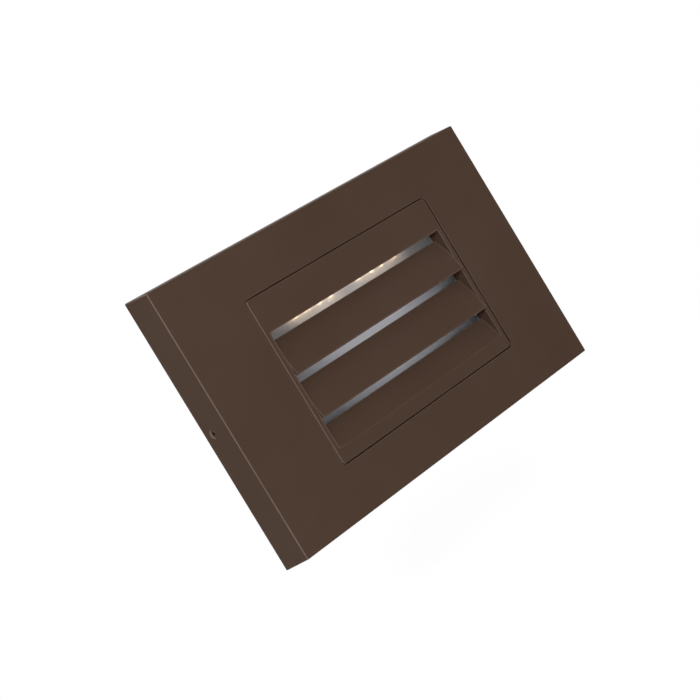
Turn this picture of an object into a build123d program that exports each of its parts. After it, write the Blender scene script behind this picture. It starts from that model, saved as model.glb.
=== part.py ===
from build123d import *
import math
import os

# A wall-mounted step light: a painted cast cover with a louvred insert, over a back plate that carries the
# LEDs, the driver and the wiring. Sizes are in millimetres. +X is the viewer's right, +Z is up and the wall
# is the plane Y = 0. "out" is a distance in front of the wall, so it runs along -Y.

# ---------------------------------------------------------------- driving sizes

# Louvred insert
insert_width = 148.2
insert_depth = 10.6
insert_corner = 2.5
insert_rail = 3.6  # width of the frame round the slots
insert_edge_round = 1.0
slot_count = 3
slot_height = 5.0
slot_pitch = 28.9
top_band = 22.7  # from the insert's top edge to the first slot
bottom_band = 9.1  # flat strip below the last ramp
ramp_height = 15.2  # height of the ramp below the last slot
blade_setback = 8.6  # how far a blade's top edge lies behind the face
blade_thickness = 2.0
blade_bulge = 1.3  # how far a blade's front curves out from a straight line
blade_edge_round = 0.5
lip_proud = 2.6  # how far a blade's lip stands in front of the face
ramp_bulge = 0.5
band_thickness = 2.4
flange_margin = 10.0  # the insert's flange beyond its visible outline
flange_thickness = 2.4
flange_corner = 6.0

# Cover
side_margin = 50.0  # face to the left and right of the insert
end_margin = 31.1  # face above and below the insert
side_lean = 2.9  # how far each side leans in from the rim to the face
cover_wall = 2.2
cover_edge_round = 0.8
rim_gap = 0.5  # between the cover's rim and the wall
window_gap = 0.5  # shadow line round the insert
stud_radius = 1.95
stud_spare = 0.8  # stud that shows past its nut
nut_height = 3.2
nut_across_flats = 7.0
nut_flange_radius = 4.2
nut_flange_height = 0.9

# Side set screws and their bosses
side_screw_setback = 17.0  # from the face back to the screw's axis
side_screw_radius = 2.45
side_screw_recess = 0.6  # behind the mouth of its hole
side_screw_point = 0.5
side_socket_across_flats = 2.5
side_socket_depth = 2.6
side_boss_radius = 5.0
side_boss_length = 4.4
side_hole_chamfer = 0.5

# Gaskets, lens and lens frame
insert_gasket_thickness = 0.8
lens_gasket_thickness = 1.2
lens_thickness = 3.0
lens_rib_depth = 0.8
lens_rib_pitch = 4.0
lens_frame_thickness = 1.2
lens_frame_margin = 7.9  # the frame beyond the lens
lens_frame_lip = 3.0  # how far it reaches over the lens
lens_frame_corner = 5.0
lens_boss_radius = 3.2
lens_boss_offset = 4.0  # from the lens's edge to the boss's axis
lens_screw_spread = 35.0  # of the upper and lower screws, from the middle
lens_screw_length = 6.0
lens_web_thickness = 2.4

# Back plate, wall gasket and grommet
wall_gasket_thickness = 1.6
wall_gasket_width = 8.0
plate_thickness = 1.5
plate_corner_relief = 12.0
side_flange_reach = 4.6  # beyond the side screw's axis
end_flange_height = 4.9
supply_hole_radius = 11.1
grommet_bore_radius = 7.0
grommet_flange_radius = 12.4
grommet_flange_thickness = 1.4
grommet_edge_round = 0.7
box_slot_spacing = 86.1  # covers screws 83.3 to 88.9 apart
box_slot_length = 8.0
box_slot_radius = 2.6
anchor_spacing_x = 200.0
anchor_spacing_z = 146.0
anchor_radius = 2.6
collar_wall = 1.2
collar_height = 1.2

# LEDs
bracket_thickness = 2.0
bracket_height = 18.0
bracket_lip_height = 6.7
thermal_pad_thickness = 0.4
bracket_end = 1.0  # the bracket beyond each end of the board
board_end_margin = 1.1  # the insert beyond each end of the board
board_height = 14.0
board_thickness = 1.6
board_screw_inset = 13.0  # from the board's ends to its outer screws
led_group = 4  # LEDs in each of the two groups
led_pitch = 9.65
led_middle_gap = 24.4  # between the two LEDs beside the middle screw
led_rise = 0.8  # the row of LEDs above the first slot's upper edge
led_length = 3.5
led_width = 2.8
led_height = 0.8
led_lens_radius = 1.2
led_lens_depth = 0.15
connector_end_gap = 0.5  # to the board's end
connector_length = 6.0
connector_width = 9.0
connector_height = 3.0
latch_length = 2.0
latch_width = 1.4
latch_depth = 0.4
lamp_gap = 2.6  # between the LEDs and the lens frame

# Reflector
sheet_thickness = 0.8
reflector_width = 144.0
reflector_foot = 7.2
reflector_drop = 7.2  # from the LED bracket down to the reflector's upper leg
reflector_top_height = 5.4
reflector_bottom_height = 6.9
reflector_bottom_edge = 5.1  # above the lower edge of the insert
reflector_screw_spread = 50.0

# Driver
lead_corridor = 4.4  # between the lens frame's edge and the driver
driver_side_gap = 0.9
driver_face_gap = 3.9
driver_length = 92.0
driver_wall = 1.8
driver_corner = 1.5
driver_lid_thickness = 1.8
driver_lip_height = 1.5
driver_lip_thickness = 1.2
driver_ear_length = 10.0
driver_ear_width = 12.0
driver_ear_thickness = 2.0
driver_board_thickness = 1.6
driver_board_gap = 1.2  # round the circuit board
driver_post_height = 2.2
driver_post_radius = 1.6
component_column = 4.6  # from the circuit board's middle to its two columns of components
supply_row = -17.0
transformer_row = 5.0
output_row = 26.0
transformer_size = (13.0, 17.0, 6.7)
choke_size = (8.4, 12.0, 5.0)
switch_size = (7.2, 1.8, 5.0)
supply_capacitor_radius = 4.1
supply_capacitor_height = 7.0
output_capacitor_radius = 3.4
output_capacitor_height = 5.8

# Terminal block and ground
pole_count = 3
pole_pitch = 8.5
terminal_end = 5.5  # from the last pole's axis to the block's end
terminal_height = 20.0
terminal_depth = 14.0
terminal_drop = 10.0  # its middle below the part's middle
terminal_well_radius = 2.6
terminal_well_depth = 5.0
terminal_screw_spread = 5.0
terminal_screw_head = 2.4
terminal_edge_round = 0.8
terminal_clamp_gap = 1.0  # between a clamp screw's tip and its lead
ground_drop = 27.0  # from the terminal block's lower edge to the ground screw
ground_screw_radius = 2.4
ground_head_across_flats = 7.9
ground_head_height = 3.2
ground_washer_radius = 5.0
ground_washer_thickness = 1.0
ring_radius = 4.2
ring_thickness = 0.9
barrel_gap = 1.5  # between the ring and its barrel
barrel_radius = 1.9
barrel_length = 6.0
barrel_floor = 1.0

# Leads and clips
lead_radius = 1.2
lead_height = 2.9  # a lead's axis in front of the back plate
lead_spacing = 3.6
lead_bend = 11.0
lead_entry = 5.0  # how far a lead goes into the terminal block
lead_below_insert = 5.7  # the upper long lead below the insert's lower edge
lead_below_driver = 14.6  # and at least this far below the driver
ground_lead_tail = 4.0  # straight length below the terminal block
ground_lead_bend = 14.0
signal_lead_radius = 0.8
signal_lead_spacing = 3.2  # at the LED board's connector
signal_lead_bend = 3.9
signal_column_gap = 2.2  # from the driver's side to the nearer thin lead
signal_column_spacing = 1.8
signal_run_gap = 15.2  # from the driver's end to the nearer thin lead
signal_run_spacing = 2.8
signal_exit_inset = 5.8  # from the driver's side to the nearer exit
signal_exit_spacing = 3.4
clip_length = 8.0
clip_border = 3.0
clip_spread = 70.0
clip_cap = 1.0  # clip in front of the leads
clip_pin_radius = 1.5
clip_pin_past = 0.8  # how far the pin comes out behind the plate
clip_slit = 1.7

# Small screws and fits
screw_radius = 1.5
screw_head_radius = 2.6
screw_head_height = 1.9
screw_head_round = 0.75
cross_width = 0.6
cross_depth = 1.1
head_slot_width = 0.8
head_slot_depth = 1.0
screw_grip = 2.9  # thread behind the back plate's front
screw_clearance = 0.2  # round a screw in a plain hole
thread_gap = 0.05  # between a screw and its thread
seat_gap = 0.05  # between the side screw's point and the back plate
boss_gap = 0.4
cover_fit = 0.4  # between the cover and the back plate's upper and lower edges
over = 1.0  # how far a cutter runs past what it cuts

# ---------------------------------------------------------------- levels in front of the wall

plate_back = wall_gasket_thickness
plate_front = plate_back + plate_thickness
bracket_front = plate_front + bracket_thickness
board_back = bracket_front + thermal_pad_thickness
board_front = board_back + board_thickness
led_front = board_front + led_height
frame_back = led_front + lamp_gap
lens_back = frame_back + lens_frame_thickness
lens_front = lens_back + lens_thickness
insert_back = lens_front + lens_gasket_thickness
front = insert_back + insert_depth
face_back = front - cover_wall
flange_front = face_back - insert_gasket_thickness
flange_back = flange_front - flange_thickness
screw_out = front - side_screw_setback

# ---------------------------------------------------------------- outlines

insert_height = top_band + (slot_count - 1) * slot_pitch + slot_height + ramp_height + bottom_band
recess_width = insert_width - 2 * insert_rail
recess_height = insert_height - 2 * insert_rail
face_width = insert_width + 2 * side_margin
face_height = insert_height + 2 * end_margin
rim_width = face_width + 2 * side_lean
rim_height = face_height + 2 * side_lean
cover_depth = front - rim_gap
slope = side_lean / cover_depth
wall_across = cover_wall * math.hypot(1, slope)  # the leaning wall, measured level
flange_width = insert_width + 2 * flange_margin
flange_height = insert_height + 2 * flange_margin
stud_places = [
    (sx * (insert_width / 2 + flange_margin / 2), sz * (insert_height / 2 + flange_margin / 2))
    for sx in (-1, 1)
    for sz in (-1, 1)
]
frame_width = insert_width + 2 * lens_frame_margin
frame_height = insert_height + 2 * lens_frame_margin
lens_screw_places = [(side * (insert_width / 2 + lens_boss_offset), 0) for side in (-1, 1)]
lens_screw_places += [
    (sx * lens_screw_spread, sz * (insert_height / 2 + lens_boss_offset)) for sx in (-1, 1) for sz in (-1, 1)
]


def half_outside(rim_size, out):
    """Half the cover's outside width or height at a distance out from the wall."""
    return rim_size / 2 - slope * (out - rim_gap)


plate_half_width = half_outside(rim_width, screw_out) - wall_across - side_boss_length - boss_gap
end_flange_front = plate_front + end_flange_height
plate_half_height = half_outside(rim_height, end_flange_front) - wall_across - cover_fit
plate_inside = plate_half_width - plate_thickness
side_flange_front = screw_out + side_flange_reach

# LEDs, in two groups just above the first slot
first_slot_top = insert_height / 2 - top_band
led_level = first_slot_top + led_rise
led_places = [
    side * (led_middle_gap / 2 + i * led_pitch) for side in (-1, 1) for i in range(led_group)
]
board_length = insert_width - 2 * board_end_margin
bracket_length = board_length + 2 * bracket_end
board_screw_spread = board_length / 2 - board_screw_inset
board_screw_places = [(x, led_level) for x in (-board_screw_spread, 0, board_screw_spread)]
connector_x = board_length / 2 - connector_end_gap - connector_length / 2
bracket_bottom = led_level - bracket_height / 2
bracket_top = led_level + bracket_height / 2

# Driver in the right-hand bay, terminal block in the left-hand bay
driver_left = frame_width / 2 + lead_corridor
driver_right = plate_inside - driver_side_gap
driver_x = (driver_left + driver_right) / 2
driver_width = driver_right - driver_left
driver_end = driver_length / 2
driver_lid_front = face_back - driver_face_gap
driver_case_front = driver_lid_front - driver_lid_thickness
driver_board_back = plate_front + driver_wall + driver_post_height
driver_screw_up = driver_end + driver_ear_length / 2
driver_screw_places = [(driver_x, side * driver_screw_up) for side in (-1, 1)]
terminal_x = -(plate_inside + flange_width / 2) / 2
terminal_width = (pole_count - 1) * pole_pitch + 2 * terminal_end
terminal_bottom = -terminal_drop - terminal_height / 2
pole_places = [terminal_x + (i - (pole_count - 1) / 2) * pole_pitch for i in range(pole_count)]
terminal_seat = plate_front + terminal_depth - terminal_well_depth
terminal_mount_places = [(terminal_x + side * pole_pitch / 2, -terminal_drop) for side in (-1, 1)]
well_places = [
    (x, -terminal_drop + side * terminal_screw_spread) for x in pole_places for side in (-1, 1)
]
ground_x = pole_places[-1]
ground_up = terminal_bottom - ground_drop
barrel_start = ground_up + ring_radius + barrel_gap
barrel_out = plate_front + barrel_radius

# Leads
lead_out = plate_front + lead_height
terminal_screw_tip = lead_out + lead_radius + terminal_clamp_gap
neutral_run = -max(insert_height / 2 + lead_below_insert, driver_end + lead_below_driver)
line_run = neutral_run - lead_spacing
neutral_exit = driver_left + driver_wall + lead_radius
line_exit = neutral_exit + lead_spacing
signal_out = board_front + connector_height / 2
signal_start = connector_x + connector_length / 2
signal_column = driver_left - signal_column_gap
signal_run = driver_end + signal_run_gap
signal_exit = driver_left + signal_exit_inset
clip_up = (neutral_run + line_run) / 2
clip_places = [(x, clip_up) for x in (-clip_spread, 0, clip_spread)]

# Reflector
reflector_top = bracket_bottom - reflector_drop
reflector_bottom = -insert_height / 2 + reflector_bottom_edge
reflector_screw_places = [
    (side * reflector_screw_spread, up)
    for side in (-1, 1)
    for up in (reflector_top + reflector_foot / 2, reflector_bottom - reflector_foot / 2)
]


# ---------------------------------------------------------------- helpers


def facing(x=0.0, up=0.0, out=0.0):
    """A plane that looks out from the wall, its own x to the right and its own y up."""
    return Plane(origin=(x, -out, up), x_dir=(1, 0, 0), z_dir=(0, -1, 0))


def toward_wall(x, up, out):
    """A plane that looks at the wall."""
    return Plane(origin=(x, -out, up), x_dir=(1, 0, 0), z_dir=(0, 1, 0))


def slab(width, height, near, far, x=0.0, up=0.0):
    """A block between two distances from the wall."""
    return extrude(facing(x, up, near) * Rectangle(width, height), far - near)


def rounded_slab(width, height, corner, near, far):
    """A block with rounded corners between two distances from the wall."""
    return extrude(facing(out=near) * RectangleRounded(width, height, corner), far - near)


def peg(radius, near, far, x=0.0, up=0.0):
    """A round bar between two distances from the wall."""
    return extrude(facing(x, up, near) * Circle(radius), far - near)


def side_bar(radius, start, end):
    """A round bar along X on the side screws' axis."""
    return extrude(Plane(origin=(start, -screw_out, 0), z_dir=(1, 0, 0)) * Circle(radius), end - start)


def rail(section, length):
    """A section drawn as out against up, drawn out along X."""
    return extrude(Plane(origin=(length / 2, 0, 0), x_dir=(0, -1, 0), z_dir=(-1, 0, 0)) * section, length)


def pan_screw(plane, length):
    """A small screw whose head seats on a plane and whose thread runs behind it."""
    head = extrude(plane * Circle(screw_head_radius), screw_head_height)
    top = plane.offset(screw_head_height)
    rim = head.edges().filter_by(GeomType.CIRCLE).sort_by_distance(top.origin)[0]
    head = fillet(rim, screw_head_round)
    for turn in (0, 90):
        head -= extrude(top * Rot(0, 0, turn) * Rectangle(screw_head_radius, cross_width), -cross_depth)
    return head + extrude(plane * Circle(screw_radius), -length)


def lead(points, radius, bend):
    """A lead along straight runs joined by arcs. Each point is x, up, out."""
    path = FilletPolyline(*[(x, -out, up) for x, up, out in points], radius=bend)
    return sweep(Plane(origin=path @ 0, z_dir=path % 0) * Circle(radius), path=path)


def group(shapes):
    """Separate solids that share one node."""
    return Compound([solid for shape in shapes for solid in shape.solids()])


def holes(radius, places, near, far):
    """Round cutters at several places."""
    return [peg(radius, near, far, x, up) for x, up in places]


# ---------------------------------------------------------------- cover


def pan_block(inset, near, far):
    """The cover's leaning outline, drawn in by an inset, between two distances from the wall."""
    sections = [
        facing(out=out)
        * Rectangle(2 * (half_outside(rim_width, out) - inset), 2 * (half_outside(rim_height, out) - inset))
        for out in (near, far)
    ]
    return loft(sections, ruled=True)


def face_cover():
    """The painted cover with its window, insert studs and tapped side bosses."""
    outside = pan_block(0, rim_gap, front)
    inside = pan_block(wall_across, rim_gap - over, face_back)
    face_edges, side_edges = outside.edges().group_by(Axis.Y)[:2]
    pan = fillet(face_edges + side_edges, cover_edge_round) - inside
    window_width = insert_width + 2 * window_gap
    window_height = insert_height + 2 * window_gap
    window_corner = insert_corner + window_gap
    pan -= rounded_slab(window_width, window_height, window_corner, face_back - over, front + over)
    stud_end = flange_back - nut_height - stud_spare
    pan += [peg(stud_radius, stud_end, face_back, x, up) for x, up in stud_places]
    boss_root = half_outside(rim_width, screw_out) - wall_across / 2
    boss_tip = plate_half_width + boss_gap
    for side in (-1, 1):
        pan += side_bar(side_boss_radius, side * boss_tip, side * boss_root)
    outer = half_outside(rim_width, screw_out)
    thread = side_screw_radius + thread_gap
    for side in (-1, 1):
        pan -= side_bar(thread, side * (boss_tip - over), side * (outer + over))
        mouth = Plane(origin=(side * (outer - side_hole_chamfer), -screw_out, 0), z_dir=(side, 0, 0))
        outer_mouth = mouth.offset(2 * side_hole_chamfer)
        pan -= loft([mouth * Circle(thread), outer_mouth * Circle(thread + 2 * side_hole_chamfer)])
    return pan


def side_screw(side):
    """A set screw with a hex socket, in the boss on one side of the cover."""
    tip = plate_half_width + seat_gap
    head = half_outside(rim_width, screw_out) - side_screw_recess
    body = side_bar(side_screw_radius, side * tip, side * head)
    body = chamfer(body.edges().filter_by(GeomType.CIRCLE), side_screw_point)
    mouth = Plane(origin=(side * head, -screw_out, 0), z_dir=(side, 0, 0))
    socket = RegularPolygon(side_socket_across_flats / 2, 6, major_radius=False)
    return body - extrude(mouth * socket, -side_socket_depth)


# ---------------------------------------------------------------- louvred insert


def curved_section(back_edge, foot, bulge):
    """A blade's section, from its back edge at the top to its foot. Both are out, up."""
    back_edge, foot = Vector(*back_edge), Vector(*foot)
    chord = foot - back_edge
    middle = (back_edge + foot) * 0.5 + Vector(-chord.Y, chord.X).normalized() * bulge
    shift = Vector(blade_thickness, 0)
    return make_face(
        [
            ThreePointArc(back_edge, middle, foot),
            Line(foot, foot - shift),
            ThreePointArc(foot - shift, middle - shift, back_edge - shift),
            Line(back_edge - shift, back_edge),
        ]
    )


def louvre_insert():
    """The casting that holds the slots, with its flange and the bosses of the lens frame."""
    body = rounded_slab(insert_width, insert_height, insert_corner, insert_back, front)
    body = fillet(body.edges().group_by(Axis.Y)[0], insert_edge_round)
    body += rounded_slab(flange_width, flange_height, flange_corner, flange_back, flange_front)
    for x, up in lens_screw_places:
        body += peg(lens_boss_radius, lens_back, flange_back, x, up)
        # a web joins each boss to the body, sideways or upright
        if up:
            web_up = up - math.copysign(lens_boss_offset / 2, up)
            body += slab(lens_web_thickness, lens_boss_offset, insert_back, flange_back, x, web_up)
        else:
            web_x = x - math.copysign(lens_boss_offset / 2, x)
            body += slab(lens_boss_offset, lens_web_thickness, insert_back, flange_back, web_x)
    body -= slab(recess_width, recess_height, insert_back - over, front + over)
    recess_top = recess_height / 2
    band_back = front - band_thickness
    band_middle = (recess_top + first_slot_top) / 2
    body += slab(recess_width, recess_top - first_slot_top, band_back, front, up=band_middle)
    for i in range(slot_count):
        top = first_slot_top - i * slot_pitch - slot_height
        back_edge = (front - blade_setback, top)
        if i < slot_count - 1:
            lip = (front + lip_proud, first_slot_top - (i + 1) * slot_pitch)
            blade = rail(curved_section(back_edge, lip, blade_bulge), recess_width)
            body += fillet(blade.edges().filter_by(Axis.X), blade_edge_round)
        else:
            foot = top - ramp_height
            body += rail(curved_section(back_edge, (front, foot), ramp_bulge), recess_width)
            body += slab(recess_width, foot + recess_top, band_back, front, up=(foot - recess_top) / 2)
    body -= holes(stud_radius + screw_clearance, stud_places, flange_back - over, flange_front + over)
    thread_end = lens_back + lens_screw_length
    return body - holes(screw_radius + thread_gap, lens_screw_places, lens_back - over, thread_end)


def insert_gasket():
    """The flat ring between the cover's face and the insert's flange."""
    ring = rounded_slab(flange_width, flange_height, flange_corner, flange_front, face_back)
    inner_width = insert_width + 2 * window_gap
    inner_height = insert_height + 2 * window_gap
    near, far = flange_front - over, face_back + over
    ring -= rounded_slab(inner_width, inner_height, insert_corner + window_gap, near, far)
    return ring - holes(stud_radius + screw_clearance, stud_places, near, far)


def insert_nut(x, up):
    """A flange nut on one of the cover's studs."""
    nut = peg(nut_flange_radius, flange_back - nut_flange_height, flange_back, x, up)
    hexagon = RegularPolygon(nut_across_flats / 2, 6, major_radius=False)
    nut += extrude(facing(x, up, flange_back - nut_height) * hexagon, nut_height - nut_flange_height)
    return nut - peg(stud_radius + thread_gap, flange_back - nut_height - over, flange_back + over, x, up)


# ---------------------------------------------------------------- lens


def lens_gasket():
    """The ring that seals the lens to the back of the insert."""
    ring = rounded_slab(insert_width, insert_height, insert_corner, lens_front, insert_back)
    return ring - slab(recess_width, recess_height, lens_front - over, insert_back + over)


def lens():
    """The frosted pane, with upright prismatic ribs on its back inside the lens frame."""
    pane = rounded_slab(insert_width, insert_height, insert_corner, lens_back, lens_front)
    rib_count = math.floor((insert_width - 2 * lens_frame_lip) / lens_rib_pitch)
    rib_height = insert_height - 2 * lens_frame_lip
    start = -rib_count * lens_rib_pitch / 2
    valley = lens_back + lens_rib_depth
    crests = []
    for i in range(rib_count):
        crests += [(start + i * lens_rib_pitch, -valley), (start + (i + 0.5) * lens_rib_pitch, -lens_back)]
    crests += [(-start, -valley), (-start, over - lens_back), (start, over - lens_back)]
    floor = Plane(origin=(0, 0, -rib_height / 2), x_dir=(1, 0, 0), z_dir=(0, 0, 1))
    return pane - extrude(floor * make_face(Polyline(*crests, close=True)), rib_height)


def lens_frame():
    """The flat frame that clamps the lens."""
    frame = rounded_slab(frame_width, frame_height, lens_frame_corner, frame_back, lens_back)
    open_width = insert_width - 2 * lens_frame_lip
    open_height = insert_height - 2 * lens_frame_lip
    near, far = frame_back - over, lens_back + over
    frame -= rounded_slab(open_width, open_height, insert_corner, near, far)
    return frame - holes(screw_radius + screw_clearance, lens_screw_places, near, far)


def lens_frame_screw(x, up):
    """A screw through the lens frame into the insert."""
    return pan_screw(toward_wall(x, up, frame_back), lens_screw_length)


# ---------------------------------------------------------------- back plate

plate_screw_places = (
    board_screw_places + reflector_screw_places + driver_screw_places + terminal_mount_places
)
anchor_places = [
    (sx * anchor_spacing_x / 2, sz * anchor_spacing_z / 2) for sx in (-1, 1) for sz in (-1, 1)
]


def back_plate():
    """The pan on the wall: side flanges for the set screws, end flanges for the cover and tapped collars."""
    width, height = 2 * plate_half_width, 2 * plate_half_height
    plate = slab(width, height, plate_back, plate_front)
    flange_length = height - 2 * plate_corner_relief
    flange_x = plate_half_width - plate_thickness / 2
    end_length = width - 2 * plate_corner_relief
    flange_up = plate_half_height - plate_thickness / 2
    for side in (-1, 1):
        plate += slab(plate_thickness, flange_length, plate_back, side_flange_front, x=side * flange_x)
        plate += slab(end_length, plate_thickness, plate_back, end_flange_front, up=side * flange_up)
    collar_back = plate_back - collar_height
    plate += holes(screw_radius + collar_wall, plate_screw_places, collar_back, plate_back)
    plate += peg(ground_screw_radius + collar_wall, collar_back, plate_back, ground_x, ground_up)
    near, far = collar_back - over, plate_front + over
    plate -= holes(screw_radius + thread_gap, plate_screw_places, near, far)
    plate -= peg(ground_screw_radius + thread_gap, near, far, ground_x, ground_up)
    plate -= peg(supply_hole_radius, near, far)
    plate -= holes(anchor_radius, anchor_places, near, far)
    plate -= holes(clip_pin_radius + thread_gap, clip_places, near, far)
    for side in (-1, 1):
        slot = SlotOverall(box_slot_length, 2 * box_slot_radius)
        plate -= extrude(facing(side * box_slot_spacing / 2, 0, near) * slot, far - near)
    return plate


def wall_gasket():
    """The foam ring between the back plate and the wall."""
    width, height = 2 * plate_half_width, 2 * plate_half_height
    inner_width, inner_height = width - 2 * wall_gasket_width, height - 2 * wall_gasket_width
    return slab(width, height, 0, plate_back) - slab(inner_width, inner_height, -over, plate_back + over)


def wire_grommet():
    """The rubber grommet in the supply hole."""
    near, far = plate_back - grommet_flange_thickness, plate_front + grommet_flange_thickness
    ring = peg(supply_hole_radius - thread_gap, plate_back, plate_front)
    ring += peg(grommet_flange_radius, near, plate_back)
    ring += peg(grommet_flange_radius, plate_front, far)
    ends = ring.edges().filter_by(GeomType.CIRCLE).group_by(Axis.Y)
    ring = fillet(ends[0] + ends[-1], grommet_edge_round)
    return ring - peg(grommet_bore_radius, near - over, far + over)


# ---------------------------------------------------------------- LEDs and reflector


def led_bracket():
    """The aluminium angle that carries the LED board and takes its heat into the back plate."""
    bracket = slab(bracket_length, bracket_height, plate_front, bracket_front, up=led_level)
    lip_up = bracket_top + bracket_thickness / 2
    lip_front = plate_front + bracket_lip_height
    bracket += slab(bracket_length, bracket_thickness, plate_front, lip_front, up=lip_up)
    near, far = plate_front - over, bracket_front + over
    return bracket - holes(screw_radius + screw_clearance, board_screw_places, near, far)


def thermal_pad():
    """The soft pad between the LED board and its bracket."""
    pad = slab(board_length, board_height, bracket_front, board_back, up=led_level)
    near, far = bracket_front - over, board_back + over
    return pad - holes(screw_radius + screw_clearance, board_screw_places, near, far)


def led_board():
    """The aluminium-core board."""
    board = slab(board_length, board_height, board_back, board_front, up=led_level)
    near, far = board_back - over, board_front + over
    return board - holes(screw_radius + screw_clearance, board_screw_places, near, far)


def led_package(x):
    """One LED with its round phosphor well."""
    body = slab(led_length, led_width, board_front, led_front, x=x, up=led_level)
    return body - peg(led_lens_radius, led_front - led_lens_depth, led_front + over, x, led_level)


def led_board_connector():
    """The plug-in connector at the right-hand end of the LED board."""
    top = board_front + connector_height
    body = slab(connector_length, connector_width, board_front, top, x=connector_x, up=led_level)
    for step in (-1, 1):
        latch_up = led_level + step * signal_lead_spacing / 2
        body -= slab(latch_length, latch_width, top - latch_depth, top + over, connector_x, latch_up)
    return body


def led_board_screw(x, up):
    """A screw through the board, the pad and the bracket into the back plate."""
    return pan_screw(facing(x, up, board_front), board_front - plate_front + screw_grip)


def reflector():
    """The white sheet below the LEDs, which also covers the supply wires."""
    near = plate_front
    upper = near + reflector_top_height
    lower = near + reflector_bottom_height
    top, bottom, sheet = reflector_top, reflector_bottom, sheet_thickness
    outline = [
        (near + sheet, top + reflector_foot),
        (near + sheet, top),
        (upper, top),
        (lower, bottom),
        (near + sheet, bottom),
        (near + sheet, bottom - reflector_foot),
        (near, bottom - reflector_foot),
        (near, bottom + sheet),
        (lower - sheet, bottom + sheet),
        (upper - sheet, top - sheet),
        (near, top - sheet),
        (near, top + reflector_foot),
    ]
    bent = rail(make_face(Polyline(*outline, close=True)), reflector_width)
    cut = near - over, near + sheet + over
    return bent - holes(screw_radius + screw_clearance, reflector_screw_places, *cut)


def reflector_screw(x, up):
    """A screw through one of the reflector's feet."""
    return pan_screw(facing(x, up, plate_front + sheet_thickness), sheet_thickness + screw_grip)


# ---------------------------------------------------------------- driver


def driver_case():
    """The driver's tub with its two ears, board posts and lead holes."""
    case = slab(driver_width, driver_length, plate_front, driver_case_front, x=driver_x)
    case = fillet(case.edges().filter_by(Axis.Y), driver_corner)
    floor = plate_front + driver_wall
    inside_width, inside_length = driver_width - 2 * driver_wall, driver_length - 2 * driver_wall
    case -= slab(inside_width, inside_length, floor, driver_case_front + over, x=driver_x)
    ear_length = driver_ear_length + driver_wall
    ear_front = plate_front + driver_ear_thickness
    post_x = inside_width / 2 - driver_board_gap - driver_post_radius
    post_up = inside_length / 2 - driver_board_gap - driver_post_radius
    for side in (-1, 1):
        ear_up = side * (driver_end + driver_ear_length / 2 - driver_wall / 2)
        case += slab(driver_ear_width, ear_length, plate_front, ear_front, x=driver_x, up=ear_up)
        for end in (-1, 1):
            place = (driver_x + side * post_x, end * post_up)
            case += peg(driver_post_radius, floor, driver_board_back, *place)
    near, far = plate_front - over, ear_front + over
    case -= holes(screw_radius + screw_clearance, driver_screw_places, near, far)
    through = driver_wall + 2 * over
    for x in (neutral_exit, line_exit):
        hole = Plane(origin=(x, -lead_out, -driver_end - over), z_dir=(0, 0, 1))
        case -= extrude(hole * Circle(lead_radius + thread_gap), through)
    for x in (signal_exit, signal_exit + signal_exit_spacing):
        hole = Plane(origin=(x, -signal_out, driver_end + over), z_dir=(0, 0, -1))
        case -= extrude(hole * Circle(signal_lead_radius + thread_gap), through)
    return case


def driver_lid():
    """The flat lid with a lip that drops into the tub."""
    lid = slab(driver_width, driver_length, driver_case_front, driver_lid_front, x=driver_x)
    lid = fillet(lid.edges().filter_by(Axis.Y), driver_corner)
    lip_width = driver_width - 2 * driver_wall - 2 * thread_gap
    lip_length = driver_length - 2 * driver_wall - 2 * thread_gap
    lip_back = driver_case_front - driver_lip_height
    lip = slab(lip_width, lip_length, lip_back, driver_case_front, x=driver_x)
    room_width, room_length = lip_width - 2 * driver_lip_thickness, lip_length - 2 * driver_lip_thickness
    return lid + lip - slab(room_width, room_length, lip_back - over, driver_case_front, x=driver_x)


def driver_circuit_board():
    """The driver's board with its larger components."""
    gap = driver_wall + driver_board_gap
    width, length = driver_width - 2 * gap, driver_length - 2 * gap
    face = driver_board_back + driver_board_thickness
    left, right = driver_x - component_column, driver_x + component_column
    boxes = [
        (transformer_size, driver_x, transformer_row),
        (choke_size, left, supply_row),
        (switch_size, right, output_row),
    ]
    board = slab(width, length, driver_board_back, face, x=driver_x)
    for (part_width, part_length, part_height), x, up in boxes:
        board += slab(part_width, part_length, face, face + part_height, x, up)
    board += peg(supply_capacitor_radius, face, face + supply_capacitor_height, right, supply_row)
    return board + peg(output_capacitor_radius, face, face + output_capacitor_height, left, output_row)


def driver_screw(x, up):
    """A screw through one of the driver's ears."""
    return pan_screw(facing(x, up, plate_front + driver_ear_thickness), driver_ear_thickness + screw_grip)


# ---------------------------------------------------------------- terminal block and ground


def terminal_block():
    """The supply terminal block: wells for the clamp screws, wire holes above and below."""
    far = plate_front + terminal_depth
    block = slab(terminal_width, terminal_height, plate_front, far, x=terminal_x, up=-terminal_drop)
    block = fillet(block.edges().group_by(Axis.Y)[0], terminal_edge_round)
    block -= holes(terminal_well_radius, well_places, terminal_seat, far + over)
    block -= holes(screw_radius + thread_gap, well_places, terminal_screw_tip, far)
    block -= holes(screw_radius + screw_clearance, terminal_mount_places, plate_front - over, far)
    block -= holes(screw_head_radius + screw_clearance, terminal_mount_places, terminal_seat, far + over)
    for x in pole_places:
        for side in (-1, 1):
            mouth_up = -terminal_drop + side * terminal_height / 2
            mouth = Plane(origin=(x, -lead_out, mouth_up), z_dir=(0, 0, -side))
            block -= extrude(mouth * Circle(lead_radius + thread_gap), lead_entry + over)
    return block


def slotted(head, plane, width):
    """A screw head with a straight slot across its top plane."""
    return head - extrude(plane * Rectangle(width, head_slot_width), -head_slot_depth)


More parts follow.
